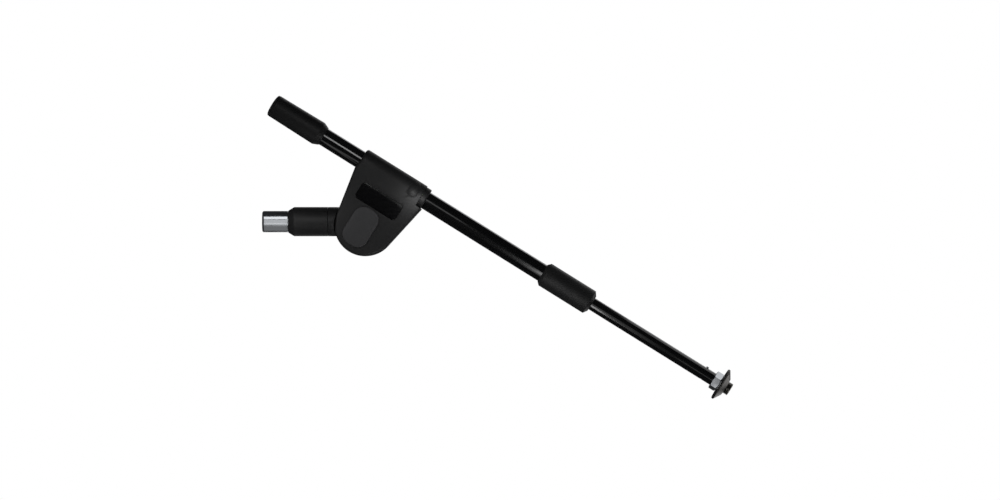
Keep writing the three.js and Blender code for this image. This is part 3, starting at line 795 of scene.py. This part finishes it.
# ---------------------------------------------------------------------------------------------
# Clamp knob
# Six-lobed hand knob moulded in the same nylon as the shells, with a brass nut pressed into its
# hub and a grey disc closing the back. Turning it clamps the tilt and the sleeve together.
# ---------------------------------------------------------------------------------------------

KNOB_R, LOBES = 23.0, 6


def lobed(share, z):
    """A row round the grip: share 1 is the full lobed outline, less is drawn in towards the hub."""
    def row(turn):
        r = (KNOB_R - 1.8 + 1.8 * math.cos(LOBES * turn)) * share
        return r, z
    return row


grip_low, grip_high = KNOB_BASE + 6, KNOB_BASE + KNOB_HEIGHT
rows = [(0, KNOB_BASE + 15), (7.8, KNOB_BASE + 15)]
rows += [(7.8, KNOB_BASE + 0.3), (8.1, KNOB_BASE), (11.4, KNOB_BASE)]
rows += [(11.85, KNOB_BASE + 0.2), (12, KNOB_BASE + 0.6)]
rows += [(12, grip_low), lobed(0.66, grip_low), lobed(0.93, grip_low), lobed(0.97, grip_low + 0.3)]
rows += [lobed(0.993, grip_low + 1.0), lobed(1.0, grip_low + 2.2), lobed(1.0, grip_high - 4.0)]
rows += [lobed(0.99, grip_high - 2.4), lobed(0.965, grip_high - 1.2), lobed(0.92, grip_high - 0.35)]
rows += [lobed(0.85, grip_high), lobed(0.72, grip_high)]
rows += [(12.4, grip_high - 0.2), (11.0, grip_high - 0.2)]
rows += [(10.5, grip_high - 0.5), (10.5, grip_high - 2), (0, grip_high - 2)]
knob = revolved("clamp_knob_lobed", rows, at_pivot, nylon, 144)
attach(knob, "knob")
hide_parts("clamp_knob")

rows = [(BOLT_R + 0.1, KNOB_BASE + 0.4), (7.1, KNOB_BASE + 0.4)]
rows += [knurled(7.5, 0.35, 36, KNOB_BASE + 0.9), knurled(7.5, 0.35, 36, KNOB_BASE + 14.1)]
rows += [(7.1, KNOB_BASE + 14.6), (BOLT_R + 0.1, KNOB_BASE + 14.6)]
insert = revolved("knob_insert_knurled", rows, at_pivot, brass, 144)
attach(insert, "knob")
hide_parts("knob_insert")

rows = filleted([
    (0, grip_high - 1.7, 0), (10.2, grip_high - 1.7, 0.2), (10.2, grip_high + 0.1, 0.5),
    (8.0, grip_high + 0.35, 2.0), (0, grip_high + 0.4, 0),
])
knob_cap = revolved("knob_cap_disc", rows, at_pivot, grey)
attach(knob_cap, "knob")
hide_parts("knob_cap")

# ---------------------------------------------------------------------------------------------
# Outer tube
# Drawn steel tube, 22 mm across, stove enamelled in glossy black. It slides through the head and
# carries the counterweight at the back and the clutch at the front.
# ---------------------------------------------------------------------------------------------

# Stove enamel: black and glossy, with a slow waviness left by the flow of the paint, faint
# hairlines along the tube where the head slides, and thin dust.
enamel, tree, shader, place = new_material(
    "black_stove_enamel", Base_Color=linear("#070708"), Coat_Weight=0.5, Coat_Roughness=0.08)
lean = math.atan2(ALONG.x, ALONG.z)
along = {"Rotation": (0, -lean, 0), "Scale": (1.0, 1.0, 0.015)}
hairs = noise(tree, place, 0.5, 2.0, along)
dust = noise(tree, place, 18.0, 6.0)
worn = add(tree, "ShaderNodeMath", {0: hairs, 1: dust}, operation="MULTIPLY").outputs["Value"]
tree.links.new(spread(tree, worn, 0.16, 0.4), shader.inputs["Roughness"])
relief(tree, shader, noise(tree, place, 26.0, 1.0), 0.04)


def reach(node, place=STAND):
    """Lowest and highest z of a CAD node in a frame's own axes, and its largest radius, in mm."""
    inside = place.inverted()
    points = [inside @ v.co / MM for v in frame["nodes"][node].data.vertices]
    heights = [p.z for p in points]
    return min(heights), max(heights), max(math.hypot(p.x, p.y) for p in points)


TUBE_WALL = 1.2
TUBE_REAR, TUBE_FRONT, _ = reach("outer_tube", BOOM)
rows = filleted([
    (TUBE_R - TUBE_WALL, TUBE_REAR, 0.3), (TUBE_R, TUBE_REAR, 0.3),
    (TUBE_R, TUBE_FRONT, 0.3), (TUBE_R - TUBE_WALL, TUBE_FRONT, 0.3),
], 3)
outer = revolved("outer_tube_drawn", held(rows), BOOM, enamel, 128)
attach(outer, "boom")
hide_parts("outer_tube")

# ---------------------------------------------------------------------------------------------
# Counterweight
# Cast sleeve under the satin powder coat, tapered a little and chamfered down to the tube at its
# front. A grub screw from the back holds it, a steel slug fills the tube, and a moulded plug ends it.
# ---------------------------------------------------------------------------------------------

REAR, FRONT, _ = reach("counterweight", BOOM)
SHOULDER_S, REAR_R, FRONT_R = FRONT - 7.3, 14.15, 14.95
rows = filleted([
    (TUBE_R + 0.3, REAR, 0.2), (REAR_R, REAR, 0.5), (FRONT_R, SHOULDER_S, 1.2),
    (TUBE_R + 0.7, FRONT, 0.3), (TUBE_R + 0.3, FRONT, 0),
])
weight = revolved("counterweight_cast", held(rows), BOOM, powder, 128)
SCREW_S = -125
rows = [(0, 8), (3.3, 8), (3.3, 20), (0, 20)]
carve(weight, [revolved("hole", rows, to_back(0, SCREW_S, BOOM), powder, 32)])
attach(weight, "boom")
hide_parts("counterweight")

rows = [(0, TUBE_R + 0.3), (2.5, TUBE_R + 0.3), (3.0, TUBE_R + 0.8), (3.0, 13.9)]
rows += [(2.9, 14.15), (2.7, 14.2), (2.1, 14.2), hexagon(3.1, 13.9), hexagon(3.1, 12.4), (0, 12.0)]
grub = revolved("weight_set_screw_hex", rows, to_back(0, SCREW_S, BOOM), zinc, 48)
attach(grub, "boom")
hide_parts("weight_set_screw")

low, high, core_r = reach("weight_core", BOOM)
rows = filleted([(0, low, 0), (core_r, low, 0.6), (core_r, high, 0.6), (0, high, 0)], 3)
core = revolved("weight_core_slug", rows, BOOM, zinc, 64)
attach(core, "boom")
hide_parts("weight_core")

CAP_END, PLUG_END, cap_r = reach("weight_cap", BOOM)
rim = REAR - 0.3
rows = [(0, CAP_END)]
for k in range(1, 13):
    turn = k / 12 * math.pi / 2
    rows.append((cap_r * math.sin(turn) ** 0.7, rim - (rim - CAP_END) * math.cos(turn) ** 0.8))
rows += [(core_r, rim), (core_r, PLUG_END), (0, PLUG_END)]
plug = revolved("weight_cap_plug", rows, BOOM, nylon, 128)
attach(plug, "boom")
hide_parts("weight_cap")

# ---------------------------------------------------------------------------------------------
# Twist clutch
# A moulded sleeve, chamfered at both ends, turns on a nylon body fixed to the outer tube. Its
# tapered inside squeezes the slotted collet on to the inner tube.
# ---------------------------------------------------------------------------------------------

INNER_R = 7.95
CLUTCH_REAR, CLUTCH_FRONT, CLUTCH_R = reach("clutch_sleeve", BOOM)
CLUTCH_CHAMFER = 3.7
rows = filleted([
    (TUBE_R + 0.2, CLUTCH_REAR, 0), (TUBE_R + 0.7, CLUTCH_REAR, 0.2),
    (CLUTCH_R, CLUTCH_REAR + CLUTCH_CHAMFER, 1.0), (CLUTCH_R, CLUTCH_FRONT - CLUTCH_CHAMFER, 1.0),
    (10.2, CLUTCH_FRONT, 0.4), (INNER_R + 0.2, CLUTCH_FRONT, 0.2), (INNER_R + 0.2, 282.5, 0),
    (9.5, 281, 0), (11.2, 269.6, 0), (13.5, 262, 0), (13.5, 219, 0), (TUBE_R + 0.2, 219, 0),
])
sleeve = revolved("clutch_sleeve_moulded", held(rows), BOOM, nylon, 128)
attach(sleeve, "clutch")
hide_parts("clutch_sleeve")

for name in ("thrust_washer", "clutch_body"):
    low, high, r = reach(name, BOOM)
    corners = ((TUBE_R + 0.3, low), (r, low), (r, high), (TUBE_R + 0.3, high))
    ring = revolved(name + "_turned", filleted([(*c, 0.25) for c in corners], 3), BOOM, natural)
    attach(ring, "boom")
    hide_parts(name)

low, high, _ = reach("collet", BOOM)
rows = [(INNER_R + 0.1, low), (12.6, low), (12.6, low + 3), (10.6, low + 5), (10.6, 270)]
rows += [(9, high), (INNER_R + 0.1, high)]
collet = revolved("collet_slotted", rows, BOOM, natural)
saws = []
for quarter in range(4):
    turn = Matrix.Rotation(math.pi / 4 + quarter * math.pi / 2, 4, "Z")
    outline = [(6, 262), (14, 262), (14, 290), (6, 290)]
    saws.append(slab("saw", outline, -0.6, 0.6, BOOM @ turn, natural))
carve(collet, saws)
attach(collet, "boom")
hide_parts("collet")

# ---------------------------------------------------------------------------------------------
# Inner tube
# Drawn steel, 5/8 inch across, in the same black enamel. A nylon bushing at its hidden end keeps
# it central, and a steel pin across its front end holds the end fitting.
# ---------------------------------------------------------------------------------------------

INNER_REAR, INNER_FRONT, _ = reach("inner_tube", BOOM)
PIN_S, PIN_R = 446, 1.6
across = Matrix.Translation((0, 0, PIN_S * MM)) @ Matrix.Rotation(math.pi / 2, 4, "Y")


def pin_hole():
    """Cutter for the hole that the cross pin passes through."""
    return revolved("hole", [(0, -12), (1.9, -12), (1.9, 12), (0, 12)], BOOM @ across, zinc, 32)


rows = filleted([
    (INNER_R - TUBE_WALL, INNER_REAR, 0.25), (INNER_R, INNER_REAR, 0.25),
    (INNER_R, INNER_FRONT, 0.25), (INNER_R - TUBE_WALL, INNER_FRONT, 0.25),
], 3)
inner = revolved("inner_tube_drawn", held(rows), BOOM, enamel, 128)
carve(inner, [pin_hole()])
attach(inner, "inner_boom")
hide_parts("inner_tube")

low, high, r = reach("guide_bushing", BOOM)
corners = ((INNER_R + 0.15, low), (r, low), (r, high), (INNER_R + 0.15, high))
guide = revolved("guide_bushing_turned", filleted([(*c, 0.4) for c in corners], 3), BOOM, natural)
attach(guide, "inner_boom")
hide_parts("guide_bushing")

rows = filleted([(0, -9.6, 0), (PIN_R, -9.6, 0.5), (PIN_R, 7.6, 0.2), (0, 7.6, 0)])
pin = revolved("tip_pin_pressed", rows, BOOM @ across, zinc, 40)
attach(pin, "inner_boom")
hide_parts("tip_pin")

# ---------------------------------------------------------------------------------------------
# End fitting and microphone stud
# The hexagon is turned from bar and chrome plated, and its spigot is pinned in the tube. The stud
# screwed into it carries the 5/8-27 thread that a microphone clip screws on to.
# ---------------------------------------------------------------------------------------------

HEX_CORNER, HEX_REAR, HEX_FRONT, HEX_TURN = 11.9, 459.3, 467.8, math.radians(-19.5)
BORE = 5.3


def hex_bar(z, trim):
    """A row with six flats, its corners cut back to the trim radius as on a turned nut."""
    def row(turn):
        face = (turn + math.pi / 2 - HEX_TURN) % (math.pi / 3) - math.pi / 6
        return min(HEX_CORNER * math.cos(math.pi / 6) / math.cos(face), trim), z
    return row


spigot_r = INNER_R - TUBE_WALL - 0.3
rows = [(0, PIN_S - 8), (spigot_r - 0.6, PIN_S - 8), (spigot_r, PIN_S - 7.4), (spigot_r, HEX_REAR)]
for k in range(7):
    rows.append(hex_bar(HEX_REAR + 0.7 * k / 6, 10.6 + 1.3 * k / 6))
rows += [hex_bar(HEX_REAR + 2, HEX_CORNER), hex_bar(HEX_FRONT - 2, HEX_CORNER)]
for k in range(7):
    rows.append(hex_bar(HEX_FRONT - 0.7 + 0.7 * k / 6, HEX_CORNER - 1.3 * k / 6))
rows += [(BORE + 0.6, HEX_FRONT), (BORE, HEX_FRONT - 0.6), (BORE, PIN_S + 6), (0, PIN_S + 6)]
fitting = revolved("tip_fitting_hexagon", held(rows), BOOM, chrome, 240)
carve(fitting, [pin_hole()])
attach(fitting, "inner_boom")
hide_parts("tip_fitting")


def nickel_plate(name, colour):
    """Satin nickel plate with a fine grain, in the given colour."""
    material, tree, shader, place = new_material(name, Base_Color=linear(colour), Metallic=1.0)
    tree.links.new(spread(tree, noise(tree, place, 5.0, 4.0), 0.26, 0.4), shader.inputs["Roughness"])
    relief(tree, shader, noise(tree, place, 0.4, 2.0), 0.008)
    return material


# Nickel plate: greyer and warmer than chrome, and satin.
nickel = nickel_plate("nickel_plated_steel", "#8a8884")
STUD_END = reach("mic_stud", BOOM)[1]
rows = [(0, PIN_S + 7), (4.4, PIN_S + 7), (5.0, PIN_S + 7.6)]
rows += [(5.0, HEX_FRONT + 0.3), (INNER_R - 0.6, HEX_FRONT + 0.3)]
rows += thread_rows(INNER_R, INNER_R - 0.58, HEX_FRONT + 0.5, STUD_END - 0.6)
rows += [(INNER_R - 1.2, STUD_END), (0, STUD_END)]
stud = revolved("mic_stud_threaded", rows, BOOM, nickel, 96)
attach(stud, "inner_boom")
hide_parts("mic_stud")

# ---------------------------------------------------------------------------------------------
# Lock ring
# A thin turned blade with a cone towards the microphone, in nickel plate made darker to paint its
# shade. It spins along the stud's thread by its fine-knurled rim and locks the clip.
# ---------------------------------------------------------------------------------------------

# Painted shade: the same nickel plate in a darker colour, so that the ring stands out dark beside the
# hexagon.
shaded_nickel = nickel_plate("nickel_plated_steel_painted_shade", "#5d5b59")

RING_REAR, RING_FRONT, RING_R = reach("lock_ring", BOOM)
RIM_REAR, RIM_FRONT, HUB_R = RING_REAR + 0.9, RING_REAR + 3.3, 11.0
rows = [(INNER_R + 0.2, RING_REAR + 0.4), (INNER_R + 0.6, RING_REAR), (HUB_R, RING_REAR)]
rows += [(RING_R - 0.7, RIM_REAR - 0.25), knurled(RING_R - 0.1, 0.0, 90, RIM_REAR + 0.1)]
rows += [knurled(RING_R, 0.35, 90, RIM_REAR + 0.5), knurled(RING_R, 0.35, 90, RIM_FRONT - 0.5)]
rows += [knurled(RING_R - 0.1, 0.0, 90, RIM_FRONT - 0.1), (RING_R - 0.7, RIM_FRONT + 0.25)]
rows += [(HUB_R + 0.6, RING_FRONT - 0.4), (HUB_R, RING_FRONT), (INNER_R + 0.6, RING_FRONT)]
rows += [(INNER_R + 0.2, RING_FRONT - 0.4)]
# The ring wears the darker plate, which paints its shade.
ring = revolved("lock_ring_knurled", rows, BOOM, shaded_nickel, 720)
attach(ring, "ring")
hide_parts("lock_ring")

# ---------------------------------------------------------------------------------------------
# Floor, lights and camera
# A pale painted floor lies well below the arm. Strips and small soft boxes draw the arm's highlights
# as this one camera sees them, and large ones fill in. The camera stands square in front of the arm
# and is rolled so that the stand's axis lies across the picture.
# ---------------------------------------------------------------------------------------------

# Matt studio paint: pale grey with faint roller mottle.
paint, tree, shader, place = new_material("matt_floor_paint", Base_Color=linear("#e4e4e2"))
tree.links.new(spread(tree, noise(tree, place, 90.0, 4.0), 0.75, 0.9), shader.inputs["Roughness"])
relief(tree, shader, noise(tree, place, 6.0, 3.0), 0.2)
HALF_FLOOR, FLOOR_BASE, FLOOR_TOP = 5000, -950, -900
edges = [(-HALF_FLOOR, FLOOR_BASE), (HALF_FLOOR, FLOOR_BASE)]
edges += [(HALF_FLOOR, FLOOR_TOP), (-HALF_FLOOR, FLOOR_TOP)]
floor = slab("studio_floor", edges, -HALF_FLOOR, HALF_FLOOR, STAND, paint)

MIDDLE = Vector((34.6, 0, 289.9)) * MM
VIEW_WIDTH, LENS, SENSOR = 1.22, 200, 36
camera_data = bpy.data.cameras.new("studio_camera")
camera_data.lens = LENS
camera_data.sensor_width = SENSOR
camera = bpy.data.objects.new("studio_camera", camera_data)
bpy.context.scene.collection.objects.link(camera)
stand_off = VIEW_WIDTH * LENS / SENSOR
axes = Matrix(((0, -1, 0), (0, 0, -1), (1, 0, 0)))
camera.matrix_world = Matrix.Translation(MIDDLE - stand_off * BACK) @ axes.to_4x4()
camera_data.clip_end = 50
bpy.context.scene.camera = camera


def softbox(name, direction, distance, size, power, target=MIDDLE, long_axis=(0, 0, 1)):
    """A rectangular soft light facing the target; its size is across and then along its long axis."""
    data = bpy.data.lights.new(name, "AREA")
    data.shape = "RECTANGLE"
    data.size, data.size_y = size
    data.energy = power
    light = bpy.data.objects.new(name, data)
    back = Vector(direction).normalized()
    side = Vector(long_axis).cross(back).normalized()
    up = back.cross(side)
    place = target + back * distance
    light.matrix_world = Matrix((
        (side.x, up.x, back.x, place.x), (side.y, up.y, back.y, place.y),
        (side.z, up.z, back.z, place.z), (0, 0, 0, 1),
    ))
    bpy.context.scene.collection.objects.link(light)
    return light


def toward(turn, y=-1.0):
    """Direction in the plane across the stand axis, turned from the camera's side towards +X."""
    return (math.sin(math.radians(turn)), y * math.cos(math.radians(turn)), 0)


def across_boom(station, turn, away):
    """Placing of a light square to the boom at a station, turned from the camera to the pivot."""
    target = BOOM @ Vector((0, 0, station * MM))
    direction = math.sin(math.radians(turn)) * ACROSS - math.cos(math.radians(turn)) * BACK
    return {"direction": direction, "distance": away, "target": target, "long_axis": ALONG}


# Strips and small boxes: each one draws a highlight on the tubes, tip, head, socket or neck.
softbox("rear_strip", size=(0.14, 0.07), power=0.14, **across_boom(-88, -16, 0.5))
softbox("collar_strip", size=(0.14, 0.08), power=0.03, **across_boom(52, -8, 0.5))
softbox("shoulder_strip", size=(0.35, 0.03), power=0.025, **across_boom(210, 35, 0.5))
softbox("clutch_strip", size=(0.3, 0.07), power=0.19, **across_boom(246, 18, 0.5))
softbox("inner_strip", size=(0.25, 0.035), power=0.15, **across_boom(293, 40, 0.5))
softbox("front_wide", size=(1.0, 0.2), power=0.24, **across_boom(300, 22, 1.0))
softbox("tip_upper", size=(0.3, 0.25), power=0.2, **across_boom(463, -99, 0.4))
softbox("tip_lower", size=(0.05, 0.08), power=0.009, **across_boom(462, 24, 0.35))
boss_spot = BOOM @ Vector((5 * MM, 0, 28 * MM))
softbox("boss_box", -BACK + 0.15 * ALONG, 0.05, (0.014, 0.014), 0.007, boss_spot, ACROSS)
at_socket = {"target": Vector((0, 0, 0.0135)), "distance": 0.08}
softbox("socket_upper", toward(-38), size=(0.037, 0.04), power=0.0065, **at_socket)
softbox("socket_lower", toward(25), size=(0.0225, 0.04), power=0.0021, **at_socket)
softbox("socket_middle", toward(0), size=(0.059, 0.04), power=0.0052, **at_socket)
softbox("socket_side", toward(78), size=(0.112, 0.04), power=0.0029, **at_socket)
softbox("neck_box", toward(-12), 0.08, (0.043, 0.06), 0.005, Vector((0, 0, 0.064)))
# Large boxes: soft light from above, behind and one side, and a wash that points down at the floor.
softbox("overhead", (0.3, 0.6, 1.0), size=(1.5, 1.5), power=7, distance=2.4, long_axis=(1, 0, 0))
under_arm = {"target": Vector((0, 0, -0.6)), "distance": 0.2, "long_axis": (1, 0, 0)}
softbox("floor_wash", (0, 0, 1), size=(9.0, 9.0), power=240, **under_arm)
softbox("back_left", (-1.0, 1.6, 0.7), size=(1.6, 2.4), power=14, distance=3.0)
softbox("back_right", (1.0, 1.5, 0.5), size=(1.6, 2.4), power=10, distance=3.0)
softbox("side_right", (1.0, 0.1, 0.5), size=(1.6, 2.4), power=6, distance=3.0)
# The floor isn't mirrored in the arm, so the undersides of the dark tubes stay dark.
floor.visible_glossy = False

# The camera sees a plain white surround. The arm itself is lit by a dim grey one.
world = bpy.data.worlds.new("studio_world")
world.use_nodes = True
bpy.context.scene.world = world
tree = world.node_tree
tree.nodes.clear()
seen = add(tree, "ShaderNodeLightPath").outputs["Is Camera Ray"]
plain = add(tree, "ShaderNodeBackground", {"Color": (1, 1, 1, 1), "Strength": 1.0})
dim = add(tree, "ShaderNodeBackground", {"Color": linear("#9fa1a4"), "Strength": 0.08})
mixed = add(tree, "ShaderNodeMixShader", {0: seen, 1: dim.outputs[0], 2: plain.outputs[0]})
add(tree, "ShaderNodeOutputWorld", {"Surface": mixed.outputs[0]})
bpy.context.scene.view_settings.view_transform = "Standard"
